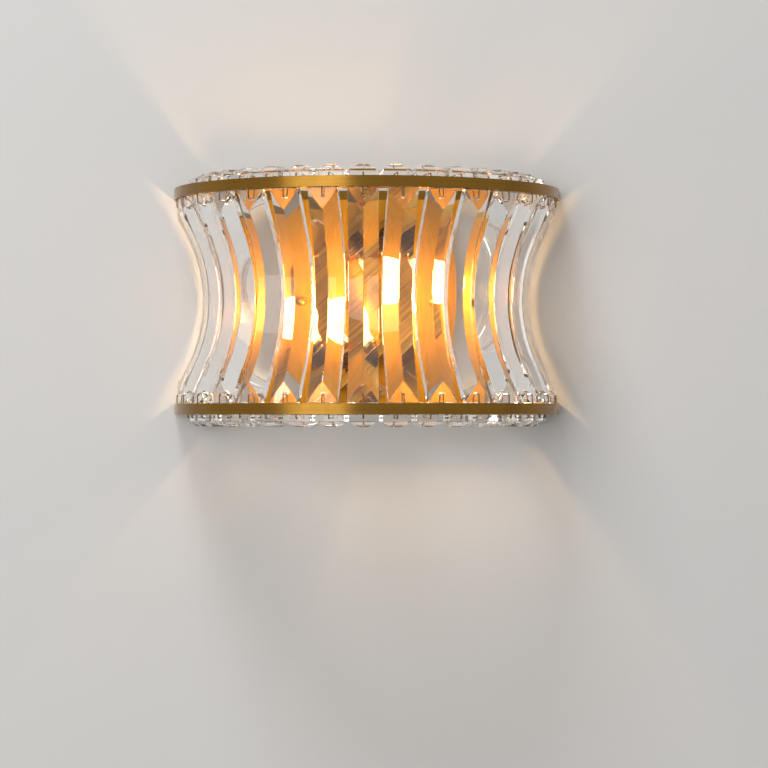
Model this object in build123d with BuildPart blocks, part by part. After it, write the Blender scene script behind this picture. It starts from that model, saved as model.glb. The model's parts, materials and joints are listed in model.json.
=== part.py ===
"""Crystal wall sconce: a half-round curtain of waisted crystal bars between two brass rings.

Millimetres. The origin is the centre of the wall face. +Z is up, the wall is the plane y = 0
and the light stands out of it towards -Y.
"""

import os
from math import cos, pi, radians, sin, sqrt, tan

from build123d import *

os.makedirs("parts", exist_ok=True)

# ---------------------------------------------------------------- driving dimensions
# Rings: a half-round band closed by a straight back run at the wall.
band_radius = 190.5
band_height = 10.5
band_thickness = 1.3
plate_thickness = 1.3
hanger_plate_width = 21.7
hanger_back_leg = 13.0

# Crystal curtain.
bar_count = 15
bar_step_angle = 11.7
bar_width = 28.8
bar_length = 200.0
bar_end_gap = 0.3
bar_edge_thickness = 6.0
bar_waist_inset = 24.7
end_facet_height = 20.0
ridge_height_at_waist = 6.0
edge_end_lean = radians(24.0)
ridge_end_lean = radians(31.0)

# Wire hooks that hold the bars, and wire pins that hold the tiles.
wire_radius = 0.6
wire_gap = 0.2
wire_bend = 1.1
wire_hole_clearance = 0.15
wire_edge_margin = 0.45
hook_drop = 8.5
hook_tail = 4.5
bar_hole_radius = 1.4
hook_back_clearance = 0.6
hook_play = 0.1

# Cut tiles on the top ring and under the bottom ring.
tile_count = 17
tile_step_angle = 10.4
tile_width = 26.5
tile_depth = 27.0
tile_girdle = 7.0
tile_height = 12.0
tile_table = 9.5
tile_chamfer = 0.6
tile_inset = 12.7
tile_hole_radius = 0.9
tile_hole_depth = 9.0
tile_hole_height = 3.5
tile_pin_reach = 7.5
tile_pin_stub = 1.5
tile_plate_lip = 2.0

# Backplate: a shallow tray, open towards the wall.
tray_width = 236.0
tray_depth = 20.0
sheet = 1.2
tray_corner = 3.0

# Wall bracket, its studs and the cap nuts.
bracket_length = 210.0
bracket_width = 25.0
bracket_thickness = 1.5
slot_spacing = 100.0
slot_width = 4.5
slot_length = 14.0
stud_spacing = 184.0
stud_radius = 2.0
stud_foot_radius = 3.5
stud_foot = 1.0
stud_free_length = 6.0
cap_nut_flats = 7.0
cap_nut_hex = 4.0
cap_nut_height = 8.0
cap_nut_crown = 0.7
cap_nut_bore_clearance = 0.06
stud_hole_clearance = 0.25

# Lamp carrier: a folded sheet with slanted flanges, one for each lampholder.
carrier_sheet = 1.5
carrier_slant = 40.0
carrier_width = 80.0
carrier_corner_gap = 0.7
flange_width = 50.0
carrier_reach = 53.5
carrier_lip = 8.0
lamp_standoff = 28.0
holder_offset = 3.7
carrier_screw_spacing = 44.0

# Lampholder, measured along its axis from the flange's outer face.
holder_radius = 14.0
holder_mouth = 25.0
holder_floor = 8.0
holder_cavity = 8.0
holder_rib_count = 8
holder_rib_pitch = 2.5
holder_rib_depth = 1.1
holder_collar = 3.0
sleeve_wall = 0.8
sleeve_gap = 0.05
sleeve_length = 15.0
contact_radius = 3.0
contact_height = 1.2
nipple_radius = 4.95
nipple_bore = 3.4
nipple_below = 8.0
nipple_socket = 6.0
nipple_clearance = 0.05
nipple_nut_flats = 14.0
nipple_nut_height = 3.0

# Golf ball lamp, measured along its axis from its contact.
contact_gap = 0.2
lamp_tip_radius = 2.2
lamp_tip_height = 1.2
lamp_insulator_height = 3.0
lamp_thread_radius = 6.9
lamp_thread_depth = 0.5
lamp_thread_pitch = 2.8
lamp_thread_turns = 5
lamp_skirt_radius = 9.0
lamp_skirt_start = 18.0
lamp_cap_length = 24.0
globe_radius = 22.5
globe_centre = 55.5
globe_wall = 0.9
globe_neck_radius = 9.0
globe_neck_length = 1.0
globe_shoulder = radians(60.0)
core_radius = 13.0
core_stem_radius = 5.0
core_gap = 2.0

# Small parts behind the backplate.
block_width = 34.0
block_height = 18.0
block_depth = 12.0
block_screw_radius = 1.6
block_screw_height = 1.2
lead_radius = 1.5
lead_end_gap = 0.2
lead_rise = 24.0
lead_entry = 2.8
lead_bend_outside = 12.0
lead_bend_play = 0.5
grommet_radius = 5.0
grommet_bore = 1.7
grommet_flange = 1.6
grommet_flange_thickness = 1.2
earth_x = 64.0
earth_z = 38.0
earth_tongue_radius = 4.0
earth_tongue_thickness = 0.8

# Screws.
screw_radius = 2.0
screw_head_radius = 3.6
screw_head_height = 2.0
screw_hole_clearance = 0.15
nut_flats = 7.0
nut_height = 2.4
nut_bore_clearance = 0.06
screw_end = 1.6
ring_screw_x = 80.0

# ---------------------------------------------------------------- worked out from them
FRONT = -90.0
inner_radius = band_radius - band_thickness
plate_face = bar_length / 2 + bar_end_gap
ring_top = plate_face + band_height
tile_plate_face = ring_top - plate_thickness
hanger_inner_radius = inner_radius - hanger_plate_width

hook_front_radius = inner_radius - wire_edge_margin - wire_hole_clearance - wire_radius
facet_radius = hook_front_radius - wire_radius - wire_gap
waist_radius = facet_radius - bar_waist_inset
edge_waist_radius = waist_radius - ridge_height_at_waist
half_bar = bar_length / 2
facet_start = half_bar - end_facet_height
hole_height = half_bar - hook_drop
hook_height = hole_height + bar_hole_radius - wire_radius - hook_play

tile_outer_radius = inner_radius - tile_inset
tile_inner_radius = tile_outer_radius - tile_depth
tile_pin_offset = wire_gap + wire_radius
tile_plate_inner_radius = tile_inner_radius - tile_pin_offset - wire_radius - tile_plate_lip

tray_inner = tray_depth - sheet
carrier_face = tray_depth + carrier_sheet
lamp_plane = tray_depth + lamp_standoff
slant = radians(carrier_slant)
carrier_corner = plate_face - carrier_corner_gap
carrier_half_span = (carrier_corner - carrier_width / 2 * tan(slant)) * cos(slant)


def hollow_arc(rise, distance, lean):
    """Radius of an arc that straightens at this lean and has this rise at this distance."""
    return (distance * tan(lean) - rise) * cos(lean) / (1 - cos(lean))


def hollow_rise(radius, lean, distance):
    """How far an arc with straight leaning ends has risen at this distance from its middle."""
    curved = min(distance, radius * sin(lean))
    return radius - sqrt(radius**2 - curved**2) + (distance - curved) * tan(lean)


def plan_spots(count, pitch):
    """Turns about the ring's axis, spread evenly on both sides of the front."""
    first = FRONT - pitch * (count - 1) / 2
    return [Location((0, 0, 0), (0, 0, first + pitch * index)) for index in range(count)]


def save(part, name):
    """Label a finished piece and write it to its own file."""
    part.label = name
    export_step(part, f"parts/{name}.step")


def save_pair(part, name):
    """Write a piece of the top ring, and its mirror image for the bottom ring."""
    save(part, f"top_{name}")
    with BuildPart() as mirrored:
        mirror(part, about=Plane.XY)
    save(mirrored.part, f"bottom_{name}")


def save_turned_pair(part, name):
    """Write a piece of the upper lamp, and the same piece half a turn round for the lower."""
    save(part, f"upper_{name}")
    with BuildPart() as turned:
        add(part, rotation=(0, 180, 0))
    save(turned.part, f"lower_{name}")


# ---------------------------------------------------------------- rings
def half_disc(radius, wall_gap=0.0):
    """Half a disc in front of the wall, added to the sketch it is called in."""
    Circle(radius)
    with Locations((0, radius - wall_gap)):
        Rectangle(2 * radius, 2 * radius, mode=Mode.SUBTRACT)


with BuildPart() as band:
    with BuildSketch(Plane.XY.offset(plate_face)):
        half_disc(band_radius)
    extrude(amount=band_height)
    with BuildSketch(Plane.XY.offset(plate_face)):
        half_disc(inner_radius, band_thickness)
    extrude(amount=band_height, mode=Mode.SUBTRACT)
save_pair(band.part, "band")

ring_screw_y = -(band_thickness + hanger_back_leg / 2)
with BuildPart() as hanger_blank:
    with BuildSketch(Plane.XY.offset(plate_face)):
        half_disc(inner_radius, band_thickness)
    extrude(amount=plate_thickness)
    with BuildSketch(Plane.XY.offset(plate_face)):
        half_disc(hanger_inner_radius, band_thickness + hanger_back_leg)
        with Locations((-ring_screw_x, ring_screw_y), (ring_screw_x, ring_screw_y)):
            Circle(screw_radius + screw_hole_clearance)
    extrude(amount=plate_thickness, mode=Mode.SUBTRACT)

# The bar's edges follow one hollow line, its ridge another, and its back the edges' line.
edge_arc = hollow_arc(facet_radius - edge_waist_radius, half_bar, edge_end_lean)
ridge_arc = hollow_arc(facet_radius - waist_radius, facet_start, ridge_end_lean)
back_waist_radius = edge_waist_radius - bar_edge_thickness
hook_back_radius = (
    back_waist_radius
    + hollow_rise(edge_arc, edge_end_lean, hook_height - wire_radius)
    - wire_radius
    - hook_back_clearance
)

with BuildPart() as hanger_holes:
    with BuildSketch(Plane.XY.offset(plate_face)):
        with Locations((hook_front_radius, 0), (hook_back_radius, 0)):
            Circle(wire_radius + wire_hole_clearance)
    extrude(amount=plate_thickness)

with BuildPart() as hanger_plate:
    add(hanger_blank.part)
    with Locations(*plan_spots(bar_count, bar_step_angle)):
        add(hanger_holes.part, mode=Mode.SUBTRACT)
save_pair(hanger_plate.part, "hanger_plate")


# ---------------------------------------------------------------- crystal bars
def hollow_line(waist, arc, lean):
    """Five points from the bar's foot to its top: end, start of the arc, waist, and so on."""
    curve_end = arc * sin(lean)
    turn = waist + hollow_rise(arc, lean, curve_end)
    end = waist + hollow_rise(arc, lean, half_bar)
    return [(end, -half_bar), (turn, -curve_end), (waist, 0), (turn, curve_end), (end, half_bar)]


def bar_profile(front):
    """Side view of the bar: hollow front, hollow back, flat ends."""
    back = hollow_line(back_waist_radius, edge_arc, edge_end_lean)
    with BuildLine() as profile:
        Line(front[0], front[1])
        ThreePointArc(front[1], front[2], front[3])
        Line(front[3], front[4])
        Line(front[4], back[4])
        Line(back[4], back[3])
        ThreePointArc(back[3], back[2], back[1])
        Line(back[1], back[0])
        Line(back[0], front[0])
    make_face(profile.edges())


edge_line = hollow_line(edge_waist_radius, edge_arc, edge_end_lean)
ridge_line = hollow_line(waist_radius, ridge_arc, ridge_end_lean)
with BuildPart() as bar:
    with BuildSketch(Plane.XZ.offset(-bar_width / 2)):
        bar_profile(edge_line)
    with BuildSketch(Plane.XZ):
        bar_profile(ridge_line)
    with BuildSketch(Plane.XZ.offset(bar_width / 2)):
        bar_profile(edge_line)
    loft(ruled=True)
    # The end facets: everything in front of the facet plane is ground away.
    with BuildSketch(Plane.YZ.offset(facet_radius)):
        Rectangle(2 * bar_width, 2 * bar_length)
    extrude(amount=band_radius, mode=Mode.SUBTRACT)
    with BuildSketch(Plane.YZ):
        with Locations((0, -hole_height), (0, hole_height)):
            Circle(bar_hole_radius)
    extrude(amount=band_radius, mode=Mode.SUBTRACT)

for number, spot in enumerate(plan_spots(bar_count, bar_step_angle), start=1):
    with BuildPart() as crystal:
        with Locations(spot):
            add(bar.part)
    save(crystal.part, f"crystal_{number:02d}")

# ---------------------------------------------------------------- hooks of the bars
hook_tail_height = plate_face + plate_thickness + wire_gap + wire_radius
hook_points = [
    (hook_front_radius - hook_tail, 0, hook_tail_height),
    (hook_front_radius, 0, hook_tail_height),
    (hook_front_radius, 0, hook_height),
    (hook_back_radius, 0, hook_height),
    (hook_back_radius, 0, hook_tail_height),
    (hook_back_radius + hook_tail, 0, hook_tail_height),
]
with BuildPart() as hook:
    with BuildLine() as hook_path:
        FilletPolyline(*hook_points, radius=wire_bend)
    with BuildSketch(Plane(origin=hook_path.line @ 0, z_dir=hook_path.line % 0)):
        Circle(wire_radius)
    sweep()

with BuildPart() as hooks:
    with Locations(*plan_spots(bar_count, bar_step_angle)):
        add(hook.part)
save_pair(hooks.part, "hooks")

# ---------------------------------------------------------------- tiles, their plate and pins
tile_middle = tile_inner_radius + tile_depth / 2
tile_table_inset = (tile_depth - tile_table) / 2
with BuildPart() as tile:
    with BuildSketch(Plane.XY.offset(ring_top)):
        with Locations((tile_middle, 0)):
            Rectangle(tile_depth, tile_width)
    extrude(amount=tile_girdle)
    chamfer(tile.faces().sort_by(Axis.Z)[0].edges(), tile_chamfer)
    with BuildSketch(Plane.XY.offset(ring_top + tile_girdle)):
        with Locations((tile_middle, 0)):
            Rectangle(tile_depth, tile_width)
    with BuildSketch(Plane.XY.offset(ring_top + tile_height)):
        with Locations((tile_middle, 0)):
            Rectangle(tile_table, tile_width - 2 * tile_table_inset)
    loft()
    for start_radius in (tile_inner_radius, tile_outer_radius - tile_hole_depth):
        with BuildSketch(Plane.YZ.offset(start_radius)):
            with Locations((0, ring_top + tile_hole_height)):
                Circle(tile_hole_radius)
        extrude(amount=tile_hole_depth, mode=Mode.SUBTRACT)

with BuildPart() as tiles:
    with Locations(*plan_spots(tile_count, tile_step_angle)):
        add(tile.part)
save_pair(tiles.part, "tiles")

with BuildPart() as tile_plate_holes:
    with BuildSketch(Plane.XY.offset(tile_plate_face)):
        with Locations(
            (tile_inner_radius - tile_pin_offset, 0), (tile_outer_radius + tile_pin_offset, 0)
        ):
            Circle(wire_radius + wire_hole_clearance)
    extrude(amount=plate_thickness)

with BuildPart() as tile_plate:
    with BuildSketch(Plane.XY.offset(tile_plate_face)):
        half_disc(inner_radius, band_thickness)
        Circle(tile_plate_inner_radius, mode=Mode.SUBTRACT)
    extrude(amount=plate_thickness)
    with Locations(*plan_spots(tile_count, tile_step_angle)):
        add(tile_plate_holes.part, mode=Mode.SUBTRACT)
save_pair(tile_plate.part, "tile_plate")

with BuildPart() as tile_pin_pair:
    for end_radius, inward in ((tile_outer_radius, -1), (tile_inner_radius, 1)):
        leg_radius = end_radius - inward * tile_pin_offset
        with BuildLine() as pin_path:
            FilletPolyline(
                (leg_radius, 0, tile_plate_face - tile_pin_stub),
                (leg_radius, 0, ring_top + tile_hole_height),
                (end_radius + inward * tile_pin_reach, 0, ring_top + tile_hole_height),
                radius=wire_bend,
            )
        with BuildSketch(Plane(origin=pin_path.line @ 0, z_dir=pin_path.line % 0)):
            Circle(wire_radius)
        sweep()

with BuildPart() as tile_pins:
    with Locations(*plan_spots(tile_count, tile_step_angle)):
        add(tile_pin_pair.part)
save_pair(tile_pins.part, "tile_pins")

# ---------------------------------------------------------------- backplate
front_plane = Plane.XZ.offset(tray_depth)
tray_height = 2 * plate_face
holder_along = carrier_half_span * tan(slant) + holder_offset
lamp_direction = Vector(sin(slant), 0, -cos(slant))
flange_direction = Vector(cos(slant), 0, sin(slant))
flange_normal = Vector(-sin(slant), 0, cos(slant))
holder_foot = (
    flange_direction * holder_along + flange_normal * carrier_half_span + Vector(0, -lamp_plane, 0)
)
opposite_foot = Vector(-holder_foot.X, holder_foot.Y, -holder_foot.Z)
lead_top = holder_foot - lamp_direction * lead_rise
grommet_spots = [(lead_top.X, lead_top.Z), (-lead_top.X, -lead_top.Z)]
stud_spots = [(-stud_spacing / 2, 0), (stud_spacing / 2, 0)]
carrier_screw_spots = [(0, -carrier_screw_spacing / 2), (0, carrier_screw_spacing / 2)]

with BuildPart() as backplate:
    with BuildSketch(Plane.XZ):
        RectangleRounded(tray_width, tray_height, tray_corner)
    extrude(amount=tray_depth)
    with BuildSketch(Plane.XZ):
        RectangleRounded(tray_width - 2 * sheet, tray_height - 2 * sheet, tray_corner - sheet)
    extrude(amount=tray_inner, mode=Mode.SUBTRACT)
    with BuildSketch(Plane.XZ.offset(tray_inner)):
        with Locations(*stud_spots):
            Circle(stud_radius + stud_hole_clearance)
        with Locations(*carrier_screw_spots, (earth_x, earth_z)):
            Circle(screw_radius + screw_hole_clearance)
        with Locations(*grommet_spots):
            Circle(grommet_radius)
    extrude(amount=sheet, mode=Mode.SUBTRACT)
    with BuildSketch(Plane.XY.offset(-tray_height)):
        with Locations((-ring_screw_x, ring_screw_y), (ring_screw_x, ring_screw_y)):
            Circle(screw_radius + screw_hole_clearance)
    extrude(amount=2 * tray_height, mode=Mode.SUBTRACT)
save(backplate.part, "backplate")

# ---------------------------------------------------------------- wall bracket, studs, cap nuts
with BuildPart() as wall_bracket:
    with BuildSketch(Plane.XZ):
        RectangleRounded(bracket_length, bracket_width, tray_corner)
        with Locations((-slot_spacing / 2, 0), (slot_spacing / 2, 0)):
            SlotOverall(slot_length, slot_width, mode=Mode.SUBTRACT)
    extrude(amount=bracket_thickness)
save(wall_bracket.part, "wall_bracket")

with BuildPart() as bracket_studs:
    with BuildSketch(Plane.XZ.offset(bracket_thickness)):
        with Locations(*stud_spots):
            Circle(stud_foot_radius)
    extrude(amount=stud_foot)
    with BuildSketch(Plane.XZ.offset(bracket_thickness)):
        with Locations(*stud_spots):
            Circle(stud_radius)
    extrude(amount=tray_depth - bracket_thickness + stud_free_length)
save(bracket_studs.part, "bracket_studs")

with BuildPart() as cap_nuts:
    with BuildSketch(front_plane):
        with Locations(*stud_spots):
            RegularPolygon(cap_nut_flats / 2, 6, major_radius=False)
    extrude(amount=cap_nut_hex)
    with BuildSketch(front_plane.offset(cap_nut_hex)):
        with Locations(*stud_spots):
            Circle(cap_nut_flats / 2)
    extrude(amount=cap_nut_height - cap_nut_hex)
    dome_edges = cap_nuts.faces().sort_by(Axis.Y)[:2].edges()
    fillet(dome_edges, cap_nut_flats / 2 - cap_nut_crown)
    with BuildSketch(front_plane):
        with Locations(*stud_spots):
            Circle(stud_radius + cap_nut_bore_clearance)
    extrude(amount=stud_free_length + cap_nut_bore_clearance, mode=Mode.SUBTRACT)
save(cap_nuts.part, "cap_nuts")

# ---------------------------------------------------------------- lamp carrier
# On this plane x runs along the slanted bends and y square to them.
carrier_plane = Plane(origin=(0, -tray_depth, 0), x_dir=flange_direction, z_dir=(0, -1, 0))
carrier_run = 2 * tray_height
flange_middle = carrier_half_span - carrier_sheet / 2
lip_middle = carrier_half_span - carrier_lip / 2

with BuildPart() as carrier_flanges:
    with BuildSketch(carrier_plane):
        with Locations((0, -flange_middle), (0, flange_middle)):
            Rectangle(carrier_run, carrier_sheet)
    extrude(amount=carrier_reach)
    with BuildSketch(carrier_plane.offset(carrier_reach - carrier_sheet)):
        with Locations((0, -lip_middle), (0, lip_middle)):
            Rectangle(carrier_run, carrier_lip)
    extrude(amount=carrier_sheet)
    with BuildSketch(front_plane):
        Rectangle(flange_width, carrier_run)
    extrude(amount=carrier_reach, mode=Mode.INTERSECT)
    for seat in (
        Plane(origin=holder_foot, z_dir=lamp_direction),
        Plane(origin=opposite_foot, z_dir=-lamp_direction),
    ):
        with BuildSketch(seat):
            Circle(nipple_radius + nipple_clearance)
        extrude(amount=carrier_sheet, mode=Mode.SUBTRACT)

with BuildPart() as lamp_carrier:
    with BuildSketch(carrier_plane):
        Rectangle(carrier_run, 2 * carrier_half_span)
    extrude(amount=carrier_sheet)
    with BuildSketch(front_plane):
        Rectangle(carrier_width, carrier_run)
    extrude(amount=carrier_sheet, mode=Mode.INTERSECT)
    add(carrier_flanges.part)
    with BuildSketch(front_plane):
        with Locations(*carrier_screw_spots):
            Circle(screw_radius + screw_hole_clearance)
    extrude(amount=carrier_sheet, mode=Mode.SUBTRACT)
save(lamp_carrier.part, "lamp_carrier")

# ---------------------------------------------------------------- lampholders and lamps
# Their profiles lie on this plane: x is the radius, y runs along the lamp's axis.
lamp_axis = Axis(holder_foot, lamp_direction)
profile_plane = Plane(
    origin=holder_foot, x_dir=(0, -1, 0), z_dir=Vector(0, -1, 0).cross(lamp_direction)
)


def turned_piece(points):
    """Turn a closed outline of radius and height about the lamp's axis."""
    with BuildSketch(profile_plane) as outline:
        Polygon(*points, align=None)
    revolve(outline.sketch, axis=lamp_axis)


rib_start = carrier_sheet + holder_collar
rib_points = []
for rib in range(holder_rib_count):
    rib_base = rib_start + rib * holder_rib_pitch
    rib_points.append((holder_radius - holder_rib_depth, rib_base + holder_rib_pitch / 4))
    rib_points.append((holder_radius, rib_base + holder_rib_pitch * 3 / 4))

with BuildPart() as holder_body:
    turned_piece(
        [(nipple_radius + nipple_clearance, carrier_sheet), (holder_radius, carrier_sheet)]
        + [(holder_radius, rib_start)]
        + rib_points
        + [(holder_radius - holder_rib_depth, holder_mouth), (holder_cavity, holder_mouth)]
        + [(holder_cavity, holder_floor), (nipple_bore, holder_floor)]
        + [(nipple_bore, nipple_socket), (nipple_radius + nipple_clearance, nipple_socket)]
    )
save_turned_pair(holder_body.part, "holder_body")

sleeve_radius = holder_cavity - sleeve_gap
with BuildPart() as holder_sleeve:
    turned_piece(
        [
            (sleeve_radius - sleeve_wall, holder_floor),
            (sleeve_radius, holder_floor),
            (sleeve_radius, holder_floor + sleeve_length),
            (sleeve_radius - sleeve_wall, holder_floor + sleeve_length),
        ]
    )
save_turned_pair(holder_sleeve.part, "holder_sleeve")

# The contact is a rivet: a head on the holder's floor and a shank down its middle hole.
with BuildPart() as holder_contact:
    turned_piece(
        [
            (0, nipple_socket),
            (nipple_bore - nipple_clearance, nipple_socket),
            (nipple_bore - nipple_clearance, holder_floor),
            (nipple_bore + contact_radius, holder_floor),
            (nipple_bore + contact_radius, holder_floor + contact_height / 2),
            (contact_radius, holder_floor + contact_height),
            (0, holder_floor + contact_height),
        ]
    )

with BuildPart() as holder_nipple:
    turned_piece(
        [
            (nipple_bore, -nipple_below),
            (nipple_radius, -nipple_below),
            (nipple_radius, nipple_socket),
            (nipple_bore, nipple_socket),
        ]
    )

with BuildPart() as nipple_nut:
    with BuildSketch(Plane(origin=holder_foot, z_dir=-lamp_direction)):
        RegularPolygon(nipple_nut_flats / 2, 6, major_radius=False)
        Circle(nipple_radius + nipple_clearance, mode=Mode.SUBTRACT)
    extrude(amount=nipple_nut_height)

for piece, piece_name in (
    (holder_contact, "holder_contacts"),
    (holder_nipple, "holder_nipples"),
    (nipple_nut, "nipple_nuts"),
):
    with BuildPart() as both_pieces:
        add(piece.part)
        add(piece.part, rotation=(0, 180, 0))
    save(both_pieces.part, piece_name)

lamp_start = holder_floor + contact_height + contact_gap
insulator_end = lamp_start + lamp_insulator_height
tip_end = lamp_start + lamp_tip_height
cap_end = lamp_start + lamp_cap_length
skirt_start = lamp_start + lamp_skirt_start
thread_root = lamp_thread_radius - lamp_thread_depth

with BuildPart() as lamp_contact:
    turned_piece(
        [
            (0, lamp_start),
            (lamp_tip_radius, lamp_start),
            (lamp_tip_radius, tip_end),
            (thread_root, insulator_end),
            (0, insulator_end),
        ]
    )
save_turned_pair(lamp_contact.part, "lamp_contact")

thread_points = []
for turn in range(lamp_thread_turns):
    turn_base = insulator_end + turn * lamp_thread_pitch
    thread_points.append((thread_root, turn_base))
    thread_points.append((lamp_thread_radius, turn_base + lamp_thread_pitch / 2))

with BuildPart() as lamp_cap:
    turned_piece(
        [(0, insulator_end)]
        + thread_points
        + [(thread_root, insulator_end + lamp_thread_turns * lamp_thread_pitch)]
        + [(lamp_skirt_radius, skirt_start + lamp_thread_pitch), (lamp_skirt_radius, cap_end)]
        + [(0, cap_end)]
    )
save_turned_pair(lamp_cap.part, "lamp_cap")


def turned_globe(radius, neck_radius, mode):
    """A ball on a neck that stands on the cap, turned about the lamp's axis."""
    centre = lamp_start + globe_centre
    shoulder = (radius * sin(globe_shoulder), centre - radius * cos(globe_shoulder))
    with BuildSketch(profile_plane) as outline:
        with BuildLine() as profile:
            neck = Line((neck_radius, cap_end), (neck_radius, cap_end + globe_neck_length))
            bend = Spline(
                neck @ 1,
                shoulder,
                tangents=[(0, 1), (cos(globe_shoulder), sin(globe_shoulder))],
            )
            ball = ThreePointArc(bend @ 1, (radius, centre), (0, centre + radius))
            Polyline(ball @ 1, (0, cap_end), neck @ 0)
        make_face(profile.edges())
    revolve(outline.sketch, axis=lamp_axis, mode=mode)


with BuildPart() as lamp_globe:
    turned_globe(globe_radius, globe_neck_radius, Mode.ADD)
    turned_globe(globe_radius - globe_wall, globe_neck_radius - globe_wall, Mode.SUBTRACT)
save_turned_pair(lamp_globe.part, "lamp_globe")

core_top = lamp_start + globe_centre + globe_radius - globe_wall - core_gap
core_centre = core_top - core_radius
core_throat = core_centre - sqrt(core_radius**2 - core_stem_radius**2)
with BuildPart() as lamp_core:
    with BuildSketch(profile_plane) as core_outline:
        with BuildLine() as core_profile:
            stem = Polyline(
                (0, cap_end), (core_stem_radius, cap_end), (core_stem_radius, core_throat)
            )
            ball = ThreePointArc(stem @ 1, (core_radius, core_centre), (0, core_top))
            Line(ball @ 1, stem @ 0)
        make_face(core_profile.edges())
    revolve(core_outline.sketch, axis=lamp_axis)
save_turned_pair(lamp_core.part, "lamp_core")

# ---------------------------------------------------------------- terminal block and leads
block_face = tray_inner - block_depth
lead_depth = block_face + lead_entry
lead_bend_inside = tray_inner - grommet_flange_thickness - lead_depth - lead_bend_play
pole_spots = [(lead_top.X, 0), (0, 0), (-lead_top.X, 0)]
with BuildPart() as terminal_block:
    with BuildSketch(Plane.XZ.offset(block_face)):
        RectangleRounded(block_width, block_height, sheet)
    extrude(amount=block_depth)
    with BuildSketch(Plane.XZ.offset(block_face)):
        with Locations(*pole_spots):
            Circle(block_screw_radius + nut_bore_clearance)
    extrude(amount=block_screw_height, mode=Mode.SUBTRACT)
save(terminal_block.part, "terminal_block")

with BuildPart() as terminal_screws:
    with BuildSketch(Plane.XZ.offset(block_face)):
        with Locations(*pole_spots):
            Circle(block_screw_radius)
    extrude(amount=block_screw_height)
save(terminal_screws.part, "terminal_screws")

with BuildPart() as grommets:
    with BuildSketch(Plane.XZ.offset(tray_inner - grommet_flange_thickness)):
        with Locations(*grommet_spots):
            Circle(grommet_radius + grommet_flange)
    extrude(amount=sheet + 2 * grommet_flange_thickness)
    with BuildSketch(Plane.XZ.offset(tray_inner)):
        with Locations(*grommet_spots):
            Circle(grommet_radius + grommet_flange)
            Circle(grommet_radius, mode=Mode.SUBTRACT)
    extrude(amount=sheet, mode=Mode.SUBTRACT)
    with BuildSketch(Plane.XZ):
        with Locations(*grommet_spots):
            Circle(grommet_bore)
    extrude(amount=2 * tray_depth, mode=Mode.SUBTRACT)
save(grommets.part, "grommets")


def lead(points, bends, name):
    """A round lead along straight runs joined by arcs; returns its solid."""
    with BuildPart() as cable:
        with BuildLine() as path:
            FilletPolyline(*points, radius=bends)
        with BuildSketch(Plane(origin=path.line @ 0, z_dir=path.line % 0)):
            Circle(lead_radius)
        sweep()
    expected = pi * lead_radius**2 * sum(edge.length for edge in path.edges())
    print(f"{name}: bends {bends} mm, volume {cable.part.volume / expected:.4f} of section x length")
    return cable.part


lamp_lead = lead(
    [
        holder_foot + lamp_direction * (nipple_socket - lead_end_gap),
        lead_top,
        Vector(lead_top.X, -lead_depth, lead_top.Z),
        Vector(lead_top.X, -lead_depth, block_height / 2),
    ],
    [lead_bend_outside, lead_bend_inside],
    "lamp lead",
)
save_turned_pair(lamp_lead, "lamp_lead")

earth_depth = tray_inner - earth_tongue_thickness - lead_radius
earth_lead = lead(
    [
        Vector(-lead_top.X, -lead_depth, block_height / 2),
        Vector(-lead_top.X, -lead_depth, earth_z),
        Vector(earth_x - earth_tongue_radius - lead_radius, -earth_depth, earth_z),
    ],
    [lead_bend_outside],
    "earth lead",
)
save(earth_lead, "earth_lead")

with BuildPart() as earth_terminal:
    with BuildSketch(Plane.XZ.offset(tray_inner - earth_tongue_thickness)):
        with Locations((earth_x, earth_z)):
            Circle(earth_tongue_radius)
        with Locations((earth_x - earth_tongue_radius, earth_z)):
            Rectangle(2 * earth_tongue_radius, 2 * lead_radius)
        with Locations((earth_x, earth_z)):
            Circle(screw_radius + screw_hole_clearance, mode=Mode.SUBTRACT)
    extrude(amount=earth_tongue_thickness)
save(earth_terminal.part, "earth_terminal")


# ---------------------------------------------------------------- screws and nuts
def pan_screws(plane, spots, grip):
    """Pan head screws whose heads sit on the plane and whose shanks run under it."""
    with BuildSketch(plane) as heads:
        with Locations(*spots):
            Circle(screw_head_radius)
    extrude(heads.sketch, amount=screw_head_height)
    with BuildSketch(plane) as shanks:
        with Locations(*spots):
            Circle(screw_radius)
    extrude(shanks.sketch, amount=-(grip + nut_height + screw_end))


def hex_nuts(plane, spots):
    """Hexagon nuts that sit on the plane."""
    with BuildSketch(plane) as sections:
        with Locations(*spots):
            RegularPolygon(nut_flats / 2, 6, major_radius=False)
            Circle(screw_radius + nut_bore_clearance, mode=Mode.SUBTRACT)
    extrude(sections.sketch, amount=nut_height)


with BuildPart() as carrier_screws:
    pan_screws(Plane.XZ.offset(carrier_face), carrier_screw_spots, carrier_sheet + sheet)
save(carrier_screws.part, "carrier_screws")

earth_spots = [(earth_x, earth_z)]
with BuildPart() as earth_screw:
    pan_screws(front_plane, earth_spots, sheet + earth_tongue_thickness)
save(earth_screw.part, "earth_screw")

with BuildPart() as tray_nuts:
    hex_nuts(Plane.XZ.offset(tray_inner - nut_height), carrier_screw_spots)
    hex_nuts(Plane.XZ.offset(tray_inner - earth_tongue_thickness - nut_height), earth_spots)
save(tray_nuts.part, "tray_nuts")

ring_screw_spots = [(-ring_screw_x, ring_screw_y), (ring_screw_x, ring_screw_y)]
with BuildPart() as top_ring_screws:
    pan_screws(Plane.XY.offset(plate_face + plate_thickness), ring_screw_spots, plate_thickness + sheet)
with BuildPart() as ring_screws:
    add(top_ring_screws.part)
    mirror(top_ring_screws.part, about=Plane.XY)
save(ring_screws.part, "ring_screws")

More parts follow.
